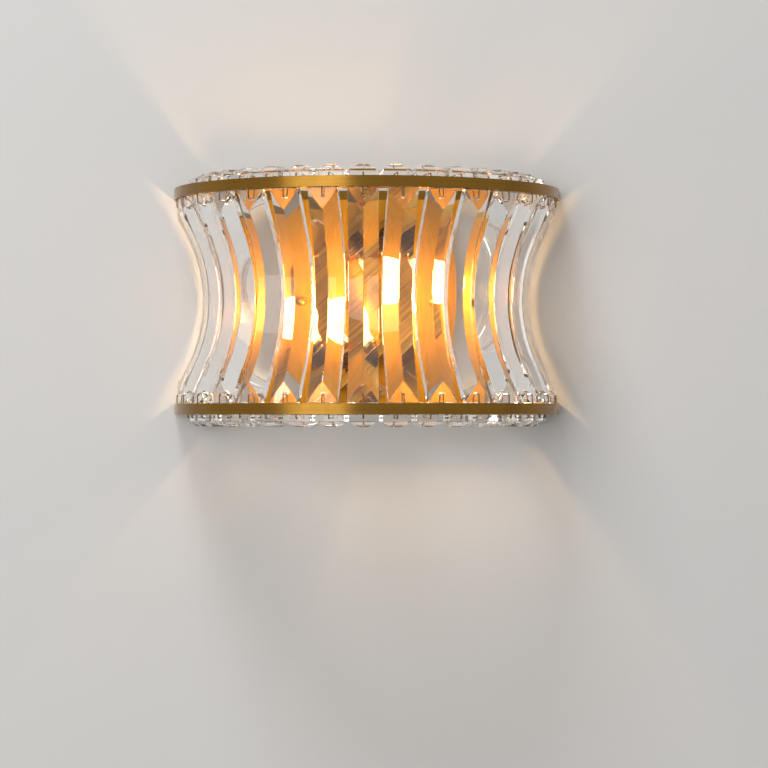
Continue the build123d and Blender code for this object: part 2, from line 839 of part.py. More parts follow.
with BuildPart() as top_ring_nuts:
    hex_nuts(Plane.XY.offset(plate_face - sheet - nut_height), ring_screw_spots)
with BuildPart() as ring_nuts:
    add(top_ring_nuts.part)
    mirror(top_ring_nuts.part, about=Plane.XY)
save(ring_nuts.part, "ring_nuts")
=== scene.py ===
"""Dresses the crystal wall sconce: cut bars and tiles, brushed brass, bent wire and two lit lamps."""

import json
from math import acos, cos, pi, radians, sin, sqrt, tan, tau

import bmesh
import bpy
from mathutils import Matrix, Vector


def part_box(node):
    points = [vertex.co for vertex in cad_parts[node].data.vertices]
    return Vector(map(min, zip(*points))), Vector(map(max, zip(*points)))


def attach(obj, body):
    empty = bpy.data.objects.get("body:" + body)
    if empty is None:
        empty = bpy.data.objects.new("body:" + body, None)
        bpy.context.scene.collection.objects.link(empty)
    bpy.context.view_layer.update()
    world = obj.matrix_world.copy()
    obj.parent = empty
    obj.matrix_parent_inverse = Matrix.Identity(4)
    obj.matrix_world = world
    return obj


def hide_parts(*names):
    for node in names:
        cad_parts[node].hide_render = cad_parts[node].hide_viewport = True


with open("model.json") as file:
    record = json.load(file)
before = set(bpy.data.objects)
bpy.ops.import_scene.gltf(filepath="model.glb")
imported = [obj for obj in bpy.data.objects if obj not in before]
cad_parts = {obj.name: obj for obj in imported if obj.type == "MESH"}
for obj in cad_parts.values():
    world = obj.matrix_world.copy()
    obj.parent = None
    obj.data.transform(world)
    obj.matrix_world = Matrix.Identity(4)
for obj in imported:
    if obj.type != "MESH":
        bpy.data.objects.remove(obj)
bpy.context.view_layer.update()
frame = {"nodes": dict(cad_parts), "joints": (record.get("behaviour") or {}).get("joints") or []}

bl_info = {
    "name": "Crystal wall sconce",
    "version": (1, 0, 0),
    "blender": (4, 5, 0),
    "location": "View3D > Sidebar > Sconce",
    "description": "Builds the visible pieces of a crystal wall sconce around its packed model",
    "category": "Object",
}

MM = 0.001
FRONT = radians(-90)
OUTWARD = (0, -1, 0)
SIDES = ("top", "bottom")
BODY = "fixture"
SHARP = radians(9)
# how far under the tip of a lit ball, in ball radii, its glow begins and is full
GLOW_FADE = (1.25, 0.85)


# ---- sizes read from the model
def middle(node):
    """The middle of a node's box."""
    low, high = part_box(node)
    return (low + high) / 2


def points_of(node):
    """The points of a node's mesh."""
    return [vertex.co for vertex in frame["nodes"][node].data.vertices]


def reach_along(node, origin, axis):
    """The least and greatest distance of a node's points along an axis."""
    distances = [(spot - origin).dot(axis) for spot in points_of(node)]
    return min(distances), max(distances)


def aimed(spot, outward):
    """Places a turned shape on a spot with its height along a direction."""
    return Matrix.Translation(spot) @ Vector(outward).to_track_quat("Z", "Y").to_matrix().to_4x4()


def joint_axis(name):
    """The direction in which a joint moves its body."""
    return next(Vector(joint["axis"]).normalized() for joint in frame["joints"] if joint["name"] == name)


BAR_NODES = sorted(name for name in frame["nodes"] if name.startswith("crystal_"))


# ---- properties
def length(label, description, value):
    """A length in metres that a user may change."""
    return bpy.props.FloatProperty(
        name=label, description=description, default=value, min=0.0, precision=5, unit="LENGTH"
    )


def angle(label, description, degrees):
    """An angle that a user may change."""
    return bpy.props.FloatProperty(
        name=label, description=description, default=radians(degrees), subtype="ANGLE"
    )


def colour(label, description, value):
    """A colour that a user may change."""
    return bpy.props.FloatVectorProperty(
        name=label, description=description, default=value, size=3, min=0.0, max=1.0, subtype="COLOR"
    )


def count(label, description, value):
    """A whole number that a user may change."""
    return bpy.props.IntProperty(name=label, description=description, default=value, min=1)


class SconceSizes(bpy.types.PropertyGroup):
    """Sizes of the pieces that this file builds."""

    bar_step: angle("Bar step", "Turn from one crystal bar to the next", 11.7)
    bar_edge: length("Bar edge", "Thickness of a crystal bar at its edges", 6 * MM)
    bar_ridge: length("Bar ridge", "Height of the ridge over the edges at the waist", 6 * MM)
    edge_lean: angle("Edge lean", "Lean of the straight ends of a bar's edges", 24)
    ridge_lean: angle("Ridge lean", "Lean of the straight ends of a bar's ridge", 31)
    bar_facet: length("End facet", "Height of the three-cornered end facet", 20 * MM)
    bar_hole: length("Hook hole", "Radius of the hole for the hook", 1.4 * MM)
    bar_hole_drop: length("Hook hole drop", "From the end of the bar to its hook hole", 8.5 * MM)
    cut_bevel: length("Ground edge", "Width of the ground edges on cut crystal", 0.35 * MM)
    tile_count: count("Tiles", "Number of tiles on each ring", 17)
    tile_step: angle("Tile step", "Turn from one tile to the next", 10.4)
    tile_girdle: length("Tile girdle", "Height of a tile's upright sides", 7 * MM)
    tile_table: length("Tile table", "Side of the flat top of a tile", 9.5 * MM)
    tile_hole: length("Tile hole", "Radius of the holes for a tile's pins", 0.9 * MM)
    tile_hole_depth: length("Tile hole depth", "Depth of the holes for a tile's pins", 9 * MM)
    tile_side_gap: length("Tile side gap", "How much less wide than deep half a tile is", 0.25 * MM)
    tile_foot: length("Tile foot", "Width of the slanted edge under a tile", 0.6 * MM)
    tile_gap: length("Tile gap", "Air between a tile and the brass under it", 0.06 * MM)
    tile_hole_height: length("Tile hole height", "From the plate up to a tile's pin holes", 3.5 * MM)
    band_bevel: length("Band edge", "Width of the broken edges of the brass bands", 0.3 * MM)
    wire_radius: length("Wire radius", "Radius of hooks and pins", 0.6 * MM)
    wire_bend: length("Wire bend", "Radius of the bends in hooks and pins", 1.1 * MM)
    pin_reach: length("Pin reach", "How far a pin goes into its tile", 7.5 * MM)
    hook_tail: length("Hook tail", "Length of a hook's two ends on the plate", 4.5 * MM)
    thread_radius: length("Lamp thread", "Radius of the lamps' rolled thread", 6.9 * MM)
    thread_depth: length("Lamp thread depth", "Depth of the lamps' rolled thread", 0.5 * MM)
    thread_pitch: length("Lamp thread pitch", "Pitch of the lamps' rolled thread", 2.8 * MM)
    collar_radius: length("Lamp collar", "Radius of the metal collar under the globe", 9 * MM)
    collar_edge: length("Collar edge", "Width of the collar's broken edge", 0.5 * MM)
    collar_height: length("Collar height", "Height of the collar's upright part", 2.8 * MM)
    collar_neck: length("Collar neck", "From the end of the lamp's thread up to the globe", 7 * MM)
    core_ball: length("Lit ball", "Radius of the lit ball inside a globe", 13 * MM)
    core_stem: length("Lit stem", "Radius of the stem that holds the lit ball", 5 * MM)
    carrier_slant: angle("Carrier slant", "Slant of the lamp carrier and its brush lines", 40)
    screw_radius: length("Screw radius", "Radius of the screws' shanks", 2 * MM)
    screw_head: length("Screw head", "Radius of the screws' heads", 3.6 * MM)
    screw_head_height: length("Screw head height", "Height of the screws' heads", 2 * MM)
    stud_radius: length("Stud radius", "Radius of the bracket's two studs", 2 * MM)
    stud_thread_depth: length("Stud thread depth", "Depth of the studs' thread", 0.2 * MM)
    stud_thread_pitch: length("Stud thread pitch", "Pitch of the studs' thread", 0.7 * MM)
    stud_foot: length("Stud foot", "Thickness of the round foot of a stud", 1 * MM)


class SconceFinishes(bpy.types.PropertyGroup):
    """Colours and strengths of the finishes."""

    brass: colour("Brass", "Lit tone of the brushed brass", (0.33, 0.175, 0.03))
    brass_shade: colour("Aged brass", "Darker tone of the brushed brass", (0.22, 0.112, 0.018))
    sheet: colour("Sheet brass", "Tone of the backplate", (0.62, 0.30, 0.03))
    carrier: colour("Carrier brass", "Brown brass of the lamp carrier", (0.70, 0.34, 0.055))
    wire: colour("Wire", "Bronze of hooks and pins", (0.22, 0.13, 0.055))
    crystal: colour("Crystal", "Tint of the cut crystal", (1.0, 0.985, 0.955))
    glow: colour("Glow", "Colour of the lit lamps", (1.0, 0.62, 0.26))
    glow_strength: bpy.props.FloatProperty(
        name="Glow strength", description="Brightness of the lit lamps", default=400.0, min=0.0
    )
    wall: colour("Backdrop", "Colour of the wall and floor behind the piece", (0.74, 0.73, 0.72))


def sizes():
    """The sizes now set in the scene."""
    return bpy.context.scene.sconce_sizes


def finishes():
    """The finishes now set in the scene."""
    return bpy.context.scene.sconce_finishes


# ---- node trees
GEOMETRY = {"Geometry": "Geometry"}
WIRE_SOCKETS = {
    "Geometry": ("Geometry",),
    "Wire Radius": ("Float", 0.001),
    "Bend Radius": ("Float", 0.002),
    "Sides": ("Int", 12),
    "Bend Steps": ("Int", 5),
}
COPY_SOCKETS = {
    "Geometry": ("Geometry",),
    "Count": ("Int", 1),
    "Turn": ("Float", 0.0),
    "First Turn": ("Float", 0.0),
    "Turned Over": ("Bool", False),
    "Material": ("Material",),
}


def feed(tree, socket, value):
    """Joins an input to another node's output, or gives it a plain value."""
    if isinstance(value, bpy.types.NodeSocket):
        tree.links.new(value, socket)
    elif socket.type == "RGBA":
        socket.default_value = (*value, 1.0)
    else:
        socket.default_value = value


def feed_all(tree, node, inputs):
    """Feeds a node's inputs, each given by its name or number."""
    for key, value in inputs.items():
        feed(tree, node.inputs[key], value)


def add(tree, kind, inputs=None, **settings):
    """Adds a node, sets it and feeds its inputs; returns its outputs."""
    node = tree.nodes.new(kind)
    for name, value in settings.items():
        setattr(node, name, value)
    feed_all(tree, node, inputs or {})
    return node.outputs


def math_node(tree, operation, first, second=0.0):
    """The result of a sum on one or two numbers."""
    return add(tree, "ShaderNodeMath", {0: first, 1: second}, operation=operation)[0]


def new_group(name, kind, inputs, outputs):
    """A node group with named sockets; returns it with its own inputs and its output node."""
    tree = bpy.data.node_groups.new(name, kind)
    for label, (socket, *default) in inputs.items():
        item = tree.interface.new_socket(label, in_out="INPUT", socket_type=f"NodeSocket{socket}")
        if default:
            item.default_value = default[0]
    for label, socket in outputs.items():
        tree.interface.new_socket(label, in_out="OUTPUT", socket_type=f"NodeSocket{socket}")
    return tree, tree.nodes.new("NodeGroupInput").outputs, tree.nodes.new("NodeGroupOutput")


def shared_tree(name, maker):
    """The node group of that name, made when it is first asked for."""
    return bpy.data.node_groups.get(name) or maker(name)


def copies_tree(name):
    """Copies of a piece round the ring's axis, made real."""
    tree, given, result = new_group(name, "GeometryNodeTree", COPY_SOCKETS, GEOMETRY)
    index = add(tree, "GeometryNodeInputIndex")[0]
    last = math_node(tree, "SUBTRACT", given["Count"], 1.0)
    half = math_node(tree, "MULTIPLY", last, 0.5)
    centred = math_node(tree, "SUBTRACT", index, half)
    swing = math_node(tree, "MULTIPLY", centred, given["Turn"])
    swing = math_node(tree, "ADD", swing, given["First Turn"])
    spread = {
        "Points": add(tree, "GeometryNodePoints", {"Count": given["Count"]})[0],
        "Instance": given["Geometry"],
        "Rotation": add(tree, "ShaderNodeCombineXYZ", {"Z": swing})[0],
    }
    copies = add(tree, "GeometryNodeInstanceOnPoints", spread)[0]
    real = add(tree, "GeometryNodeRealizeInstances", {"Geometry": copies})[0]
    turned = add(tree, "GeometryNodeTransform", {"Geometry": real, "Rotation": (0.0, pi, 0.0)})[0]
    choice = {"Switch": given["Turned Over"], "False": real, "True": turned}
    chosen = add(tree, "GeometryNodeSwitch", choice, input_type="GEOMETRY")[0]
    coat = {"Geometry": chosen, "Material": given["Material"]}
    feed_all(tree, result, {"Geometry": add(tree, "GeometryNodeSetMaterial", coat)[0]})
    return tree


def bent_wire_tree(name):
    """Round wire that follows a line of points, with a bend at each."""
    tree, given, result = new_group(name, "GeometryNodeTree", WIRE_SOCKETS, GEOMETRY)
    bends = {
        "Curve": add(tree, "GeometryNodeMeshToCurve", {"Mesh": given["Geometry"]})[0],
        "Radius": given["Bend Radius"],
        "Count": given["Bend Steps"],
    }
    section = {"Resolution": given["Sides"], "Radius": given["Wire Radius"]}
    skin = {
        "Curve": add(tree, "GeometryNodeFilletCurve", bends, mode="POLY")[0],
        "Profile Curve": add(tree, "GeometryNodeCurvePrimitiveCircle", section)[0],
        "Fill Caps": True,
    }
    feed_all(tree, result, {"Geometry": add(tree, "GeometryNodeCurveToMesh", skin)[0]})
    return tree


def wire_copies_tree(name):
    """Bent wires, repeated round the ring."""
    sockets = {**WIRE_SOCKETS, **COPY_SOCKETS}
    tree, given, result = new_group(name, "GeometryNodeTree", sockets, GEOMETRY)
    wire = {label: given[label] for label in WIRE_SOCKETS}
    bent = add(tree, "GeometryNodeGroup", wire, node_tree=shared_tree("Bent wire", bent_wire_tree))
    ring = {label: given[label] for label in COPY_SOCKETS}
    ring["Geometry"] = bent[0]
    copies = shared_tree("Evenly spaced copies", copies_tree)
    feed_all(tree, result, {"Geometry": add(tree, "GeometryNodeGroup", ring, node_tree=copies)[0]})
    return tree


def evaluated_mesh(part):
    """The plain mesh that an object's modifiers make; they are then removed."""
    evaluated = part.evaluated_get(bpy.context.evaluated_depsgraph_get())
    made = bpy.data.meshes.new_from_object(evaluated)
    part.modifiers.clear()
    return made


def new_object(name, data):
    """A new object in the scene, of a mesh, a light or a camera."""
    part = bpy.data.objects.new(name, data)
    bpy.context.scene.collection.objects.link(part)
    return part


def through_tree(mesh, tree, inputs):
    """The plain mesh that a geometry tree makes of a mesh."""
    seed = new_object("seed", mesh)
    modifier = seed.modifiers.new("Shape", "NODES")
    modifier.node_group = tree
    for item in tree.interface.items_tree:
        if item.in_out == "INPUT" and item.name in inputs:
            modifier[item.identifier] = inputs[item.name]
    made = evaluated_mesh(seed)
    bpy.data.objects.remove(seed)
    return made


# ---- meshes
def finish_mesh(shape):
    """Turns a bmesh into a mesh with smooth curves and crisp edges."""
    bmesh.ops.recalc_face_normals(shape, faces=shape.faces)
    mesh = bpy.data.meshes.new("shape")
    shape.to_mesh(mesh)
    shape.free()
    crisp(mesh)
    return mesh


def crisp(mesh):
    """Smooth faces, parted wherever two of them meet at a real angle."""
    shape = bmesh.new()
    shape.from_mesh(mesh)
    for face in shape.faces:
        face.smooth = True
    for edge in shape.edges:
        edge.smooth = len(edge.link_faces) == 2 and edge.calc_face_angle(0.0) < SHARP
    shape.to_mesh(mesh)
    shape.free()


def bevel_sharp(shape, width, least, segments=1):
    """Breaks every edge that is sharper than the least angle."""
    edges = [e for e in shape.edges if len(e.link_faces) == 2 and e.calc_face_angle(0.0) > least]
    bmesh.ops.bevel(
        shape,
        geom=edges,
        offset=width,
        segments=segments,
        profile=0.5,
        affect="EDGES",
        clamp_overlap=True,
    )


def skin_rings(shape, rings, closed=False):
    """Joins rings of points into a skin inside the bmesh: capped at both ends, or closed on itself."""
    made = [[shape.verts.new(point) for point in ring] for ring in rings]
    pairs = list(zip(made, made[1:]))
    if closed:
        pairs.append((made[-1], made[0]))
    for low, high in pairs:
        for i, (a, b) in enumerate(zip(low, high)):
            j = (i + 1) % len(low)
            shape.faces.new((a, low[j], high[j], b))
    if not closed:
        shape.faces.new(reversed(made[0]))
        shape.faces.new(made[-1])
    bmesh.ops.remove_doubles(shape, verts=shape.verts, dist=1e-7)


def cut_out(mesh, cutters):
    """The plain mesh that is left of a mesh when a bmesh is cut out of it."""
    hollow = bpy.data.meshes.new("cutter")
    cutters.to_mesh(hollow)
    cutters.free()
    target, cutter = new_object("cut", mesh), new_object("cutter", hollow)
    boolean = target.modifiers.new("Cut", "BOOLEAN")
    boolean.object = cutter
    boolean.solver = "EXACT"
    made = evaluated_mesh(target)
    bpy.data.objects.remove(target)
    bpy.data.objects.remove(cutter)
    crisp(made)
    return made


def drilled(mesh, holes):
    """Cuts round holes: each is a start point, a direction, a length and a radius."""
    cutters = bmesh.new()
    for start, direction, depth, radius in holes:
        place = aimed(start + direction * depth / 2, direction)
        bmesh.ops.create_cone(
            cutters, cap_ends=True, segments=16, radius1=radius, radius2=radius, depth=depth, matrix=place
        )
    return cut_out(mesh, cutters)


def line_mesh(*lines):
    """A mesh of open lines, each given by its points."""
    points, edges = [], []
    for line in lines:
        edges += [(len(points) + i, len(points) + i + 1) for i in range(len(line) - 1)]
        points += line
    mesh = bpy.data.meshes.new("lines")
    mesh.from_pydata(points, edges, [])
    return mesh


def round_ring(radius, height, place, sides):
    """Points on a circle round an axis."""
    turns = [tau * i / sides for i in range(sides)]
    return [place @ Vector((radius * cos(turn), radius * sin(turn), height)) for turn in turns]


def turned_mesh(profile, place, sides):
    """Turns a profile of radius and height about an axis; place puts the axis where it belongs."""
    shape = bmesh.new()
    skin_rings(shape, [round_ring(radius, height, place, sides) for radius, height in profile])
    return finish_mesh(shape)


def joined(meshes):
    """One mesh out of several."""
    shape = bmesh.new()
    for mesh in meshes:
        shape.from_mesh(mesh)
    whole = bpy.data.meshes.new("joined")
    shape.to_mesh(whole)
    shape.free()
    return whole


def screw_mesh(place, head, rise, shank, shank_length, slots=2):
    """A pan head screw: domed head with a cross or a single slot, and a threaded shank."""
    dome = [(0.02, 1.0), (0.55, 1.0), (0.8, 0.9), (0.95, 0.66), (1.0, 0.4), (1.0, 0.0), (0.02, 0.0)]
    body = turned_mesh([(head * radius, rise * height) for radius, height in dome], place, 40)
    slot_length, slot_width, slot_height = 1.25 * head, 0.26 * head, 0.9 * rise
    slot = Matrix.Translation((0, 0, rise)) @ Matrix.Diagonal((slot_length, slot_width, slot_height, 1))
    first_turn = pi / 5
    cutters = bmesh.new()
    for i in range(slots):
        turn = Matrix.Rotation(pi / 2 * i + first_turn, 4, "Z")
        bmesh.ops.create_cube(cutters, size=1.0, matrix=place @ turn @ slot)
    head_mesh = cut_out(body, cutters)
    if shank_length <= 0:
        return head_mesh
    depth, pitch = 0.16 * shank, 0.35 * shank
    thread = thread_mesh(place, (-shank_length, 0.0), shank, depth, pitch, sides=24, steps=8)
    return joined([head_mesh, thread])


def thread_mesh(place, span, radius, depth, pitch, ends=(), sides=48, steps=10):
    """A rolled thread: a tube whose radius follows a helix and runs out at both ends."""
    low, high = span
    stations = int((high - low) / pitch * steps)
    rings = []
    for k in range(stations + 1):
        height = low + (high - low) * k / stations
        fade = min(1.0, (height - low) / pitch, (high - height) / pitch)
        ring = []
        for i in range(sides):
            around = tau * i / sides
            wave = 0.5 + 0.5 * cos(tau * height / pitch - around)
            reach = radius - depth + depth * wave * fade
            ring.append(place @ Vector((reach * cos(around), reach * sin(around), height)))
        rings.append(ring)
    rings += [round_ring(end_radius, height, place, sides) for end_radius, height in ends]
    shape = bmesh.new()
    skin_rings(shape, rings)
    return finish_mesh(shape)


# ---- pieces
def show(name, mesh, finish, slot, *nodes, body=BODY):
    """Puts a finished mesh in the scene in place of the nodes it stands for."""
    mesh.materials.clear()
    mesh.materials.append(material(finish))
    mesh.name = name
    piece = new_object(name, mesh)
    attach(piece, body)
    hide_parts(*nodes)


def show_round_ring(name, mesh, tree, values, finish, slot, node):
    """Repeats a mesh round a ring, turned over for the bottom one, and shows it in place of its node."""
    ring = {"First Turn": FRONT, "Turned Over": node.startswith("bottom"), "Material": material(finish)}
    copies = through_tree(mesh, tree, {**values, **ring})
    crisp(copies)
    show(name, copies, finish, slot, node)


def dress(finish, *nodes):
    """Gives nodes that keep their own shape their material."""
    for node in nodes:
        mesh = frame["nodes"][node].data
        mesh.materials.clear()
        mesh.materials.append(material(finish))


# ---- shader groups
def coordinates(tree):
    """Places on the piece itself, for patterns."""
    return add(tree, "ShaderNodeTexCoord")["Object"]


def noise(tree, place, scale, detail=2.0, roughness=0.5):
    """A cloudy pattern between 0 and 1."""
    values = {"Vector": place, "Scale": scale, "Detail": detail, "Roughness": roughness}
    return add(tree, "ShaderNodeTexNoise", values)["Fac"]


def ranged(tree, value, source=(0.0, 1.0), target=(0.0, 1.0), **settings):
    """A number moved from one range to another."""
    ends = dict(zip(("From Min", "From Max", "To Min", "To Max"), (*source, *target)))
    return add(tree, "ShaderNodeMapRange", {"Value": value, **ends}, **settings)["Result"]


def relief(tree, height, strength, depth):
    """The normals of a surface with a fine relief; its depth is in millimetres."""
    values = {"Height": height, "Strength": strength, "Distance": depth * MM}
    return add(tree, "ShaderNodeBump", values)[0]


def mixed(tree, fraction, first, second):
    """A colour between two colours."""
    node = tree.nodes.new("ShaderNodeMix")
    node.data_type = "RGBA"
    colours = [socket for socket in node.inputs if socket.type == "RGBA"]
    for socket, value in zip((node.inputs["Factor"], *colours), (fraction, first, second)):
        feed(tree, socket, value)
    return next(socket for socket in node.outputs if socket.type == "RGBA")


def grain_group(name):
    """Brush lines: a fine line pattern, broader streaks, and cloudy handling marks."""
    inputs = {"Vector": ("Vector",), "Fineness": ("Float", 1.0), "Marks Scale": ("Float", 30.0)}
    outputs = {"Lines": "Float", "Streaks": "Float", "Marks": "Float"}
    tree, given, result = new_group(name, "ShaderNodeTree", inputs, outputs)
    streak_share = 0.22
    broad = math_node(tree, "MULTIPLY", given["Fineness"], streak_share)
    streaks = noise(tree, given["Vector"], broad)
    marks = noise(tree, coordinates(tree), given["Marks Scale"], detail=4.0, roughness=0.6)
    patterns = {
        "Lines": noise(tree, given["Vector"], given["Fineness"], detail=3.0, roughness=0.7),
        "Streaks": ranged(tree, streaks, source=(0.25, 0.75)),
        "Marks": ranged(tree, marks, source=(0.35, 0.7), interpolation_type="SMOOTHSTEP"),
    }
    feed_all(tree, result, patterns)
    return tree


def polish_group(name):
    """The slight waviness of hand polished glass, and the faint bloom on it."""
    inputs = {"Wave Scale": ("Float", 60.0), "Bloom": ("Float", 0.02)}
    outputs = {"Waves": "Float", "Roughness": "Float"}
    tree, given, result = new_group(name, "ShaderNodeTree", inputs, outputs)
    place = coordinates(tree)
    bloom = noise(tree, place, 25.0, detail=3.0)
    patterns = {
        "Waves": noise(tree, place, given["Wave Scale"], detail=1.0),
        "Roughness": ranged(tree, bloom, source=(0.5, 0.9), target=(0.0, given["Bloom"])),
    }
    feed_all(tree, result, patterns)
    return tree


# ---- materials
def new_material(name):
    """A material and its node tree."""
    made = bpy.data.materials.new(name)
    made.use_nodes = True
    return made, made.node_tree


def surfaced(made, values):
    """The same material, once its Principled shader is fed."""
    feed_all(made.node_tree, made.node_tree.nodes["Principled BSDF"], values)
    return made


def brushed_metal(name, light, dark, stretch, rough=(0.24, 0.42), depth=0.04, turn=0.0, spread=None):
    """Brushed metal; stretch is how fast its lines change along X, Y and Z, spread turns its sheen."""
    made, tree = new_material(name)
    turned = {"Vector": coordinates(tree), "Rotation": (0.0, turn, 0.0)}
    drawn = {"Vector": add(tree, "ShaderNodeMapping", turned)[0], "Scale": stretch}
    pattern = {"Vector": add(tree, "ShaderNodeMapping", drawn)[0], "Fineness": 1.0, "Marks Scale": 24.0}
    grain = add(tree, "ShaderNodeGroup", pattern, node_tree=shared_tree("Brush grain", grain_group))
    tone = mixed(tree, grain["Streaks"], dark, light)
    mark_share = 0.45
    darkening = math_node(tree, "MULTIPLY", grain["Marks"], mark_share)
    wear = math_node(tree, "ADD", grain["Lines"], grain["Marks"])
    values = {
        "Base Color": mixed(tree, darkening, tone, dark),
        "Metallic": 1.0,
        "Roughness": ranged(tree, math_node(tree, "MULTIPLY", wear, 0.5), target=rough),
        "Normal": relief(tree, grain["Lines"], strength=0.5, depth=depth),
    }
    if spread is not None:
        values["Tangent"] = add(tree, "ShaderNodeTangent", direction_type="RADIAL", axis="Z")[0]
        values["Anisotropic"] = 0.65
        values["Anisotropic Rotation"] = spread
    return surfaced(made, values)


def cut_glass(name, tint):
    """Clear cut crystal with the faint waves of its polish."""
    made, tree = new_material(name)
    polish = add(tree, "ShaderNodeGroup", node_tree=shared_tree("Hand polish", polish_group))
    values = {
        "Base Color": tint,
        "Transmission Weight": 1.0,
        "IOR": 1.52,
        "Roughness": polish["Roughness"],
        "Normal": relief(tree, polish["Waves"], strength=0.2, depth=0.05),
    }
    return surfaced(made, values)


def thin_glass(name, tint, warmth):
    """A thin blown wall lit from inside: clear where it faces the eye, denser and brighter at the rim."""
    made, tree = new_material(name)
    rim_share, film_share = 0.22, 0.2
    rim = add(tree, "ShaderNodeLayerWeight", {"Blend": 0.35})["Facing"]
    edge = math_node(tree, "MULTIPLY", math_node(tree, "POWER", rim, 3.0), rim_share)
    film = math_node(tree, "MULTIPLY", noise(tree, coordinates(tree), 40.0), film_share)
    values = {
        "Base Color": tint,
        "Roughness": 0.04,
        "Alpha": math_node(tree, "ADD", edge, film),
        "Emission Color": warmth,
        "Emission Strength": 11.0,
    }
    return surfaced(made, values)


def glowing(name, tint, strength):
    """The lit inside of a lamp: full glow where the point attribute says so, and next to none below."""
    made, tree = new_material(name)
    hot = mixed(tree, noise(tree, coordinates(tree), 90.0), tint, (1.0, 0.66, 0.32))
    glow = add(tree, "ShaderNodeAttribute", attribute_name="glow")["Fac"]
    steep = math_node(tree, "POWER", glow, 3.0)
    values = {
        "Base Color": tint,
        "Roughness": 0.5,
        "Emission Color": mixed(tree, steep, (0.003, 0.0017, 0.0005), hot),
        "Emission Strength": strength,
    }
    return surfaced(made, values)


def moulded(name, light, dark, rough):
    """Moulded plastic or rubber with a fine skin."""
    made, tree = new_material(name)
    place = coordinates(tree)
    cloud = noise(tree, place, 120.0, detail=3.0)
    values = {
        "Base Color": mixed(tree, cloud, dark, light),
        "Roughness": ranged(tree, cloud, target=(rough - 0.1, rough + 0.12)),
        "Normal": relief(tree, noise(tree, place, 1680.0), strength=0.3, depth=0.08),
    }
    return surfaced(made, values)


def striped_sheath(name):
    """Green lead sheath with yellow stripes wound round it."""
    made, tree = new_material(name)
    winding = {"Vector": coordinates(tree), "Scale": 60.0, "Distortion": 0.4}
    wound = add(tree, "ShaderNodeTexWave", winding, bands_direction="DIAGONAL")["Fac"]
    split = math_node(tree, "GREATER_THAN", wound, 0.5)
    stripes = mixed(tree, split, (0.03, 0.22, 0.05), (0.75, 0.6, 0.04))
    return surfaced(made, {"Base Color": stripes, "Roughness": 0.5})


def material(name):
    """The material of that name, made when it is first asked for."""
    look = finishes()
    recipes = {
        "Band_brass": lambda: brushed_metal(
            name, look.brass, look.brass_shade, (5, 5, 4600), (0.2, 0.36), spread=0.25
        ),
        "Sheet_brass": lambda: brushed_metal(
            name, look.sheet, (0.49, 0.215, 0.019), (3000, 3000, 3), (0.46, 0.7), depth=0.08
        ),
        "Carrier_brass": lambda: brushed_metal(
            name,
            look.carrier,
            (0.21, 0.08, 0.011),
            (5, 1500, 1500),
            (0.26, 0.5),
            depth=0.14,
            turn=sizes().carrier_slant,
            spread=0.361,
        ),
        "Plate_brass": lambda: brushed_metal(name, look.brass, look.brass_shade, (500,) * 3),
        "Trim_brass": lambda: brushed_metal(
            name, look.sheet, (0.42, 0.26, 0.07), (900,) * 3, (0.3, 0.45)
        ),
        "Bronze_wire": lambda: brushed_metal(name, look.wire, (0.10, 0.055, 0.022), (300,) * 3),
        "Zinc_steel": lambda: brushed_metal(
            name, (0.55, 0.55, 0.56), (0.36, 0.36, 0.37), (600,) * 3, (0.3, 0.5)
        ),
        "Lamp_cap_metal": lambda: brushed_metal(name, (0.68, 0.46, 0.16), (0.45, 0.28, 0.09), (400,) * 3),
        "Cut_crystal": lambda: cut_glass(name, look.crystal),
        "Lamp_glass": lambda: thin_glass(name, (1.0, 0.98, 0.94), (1.0, 0.6, 0.2)),
        "Lit_core": lambda: glowing(name, look.glow, look.glow_strength),
        "Dark_holder": lambda: moulded(name, (0.24, 0.115, 0.04), (0.13, 0.06, 0.022), 0.3),
        "Insulator": lambda: moulded(name, (0.03, 0.03, 0.035), (0.015, 0.015, 0.018), 0.25),
        "White_block": lambda: moulded(name, (0.82, 0.81, 0.77), (0.72, 0.71, 0.67), 0.4),
        "Brown_rubber": lambda: moulded(name, (0.34, 0.2, 0.08), (0.24, 0.13, 0.05), 0.6),
        "Gold_sheath": lambda: moulded(name, (0.5, 0.32, 0.12), (0.4, 0.24, 0.08), 0.4),
        "Earth_sheath": lambda: striped_sheath(name),
    }
    return bpy.data.materials.get(name) or recipes[name]()


# ---- bands and plates
def band_mesh(low, high, radius, thickness):
    """A half-round band closed by a straight run at the wall, with broken edges."""
    stations = 120
    inner = radius - thickness
    inner_tilt = thickness / inner
    rings = []
    for i in range(stations + 1):
        share = i / stations
        outside = pi + pi * share
        inside = pi + inner_tilt + (pi - 2 * inner_tilt) * share
        out = (radius * cos(outside), radius * sin(outside))
        into = (inner * cos(inside), inner * sin(inside))
        rings.append([(*out, low), (*out, high), (*into, high), (*into, low)])
    shape = bmesh.new()
    skin_rings(shape, rings, closed=True)
    bevel_sharp(shape, sizes().band_bevel, radians(30), 2)
    return finish_mesh(shape)


class SCONCE_OT_bands(bpy.types.Operator):
    """Build the two brushed brass bands and dress the plates inside them"""

    bl_idname = "sconce.bands"
    bl_label = "Bands and plates"

    def execute(self, context):
        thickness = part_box("top_band")[1].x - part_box("top_hanger_plate")[1].x
        for side in SIDES:
            node = f"{side}_band"
            low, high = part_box(node)
            mesh = band_mesh(low.z, high.z, high.x, thickness)
            show(f"brass_{node}", mesh, "Band_brass", "brushed_brass", node)
            dress("Plate_brass", f"{side}_hanger_plate", f"{side}_tile_plate")
        return {"FINISHED"}


# ---- crystal bars
def hollow_arc(rise, distance, lean):
    """Radius of an arc that straightens at this lean and has this rise at this distance."""
    return (distance * tan(lean) - rise) * cos(lean) / (1 - cos(lean))


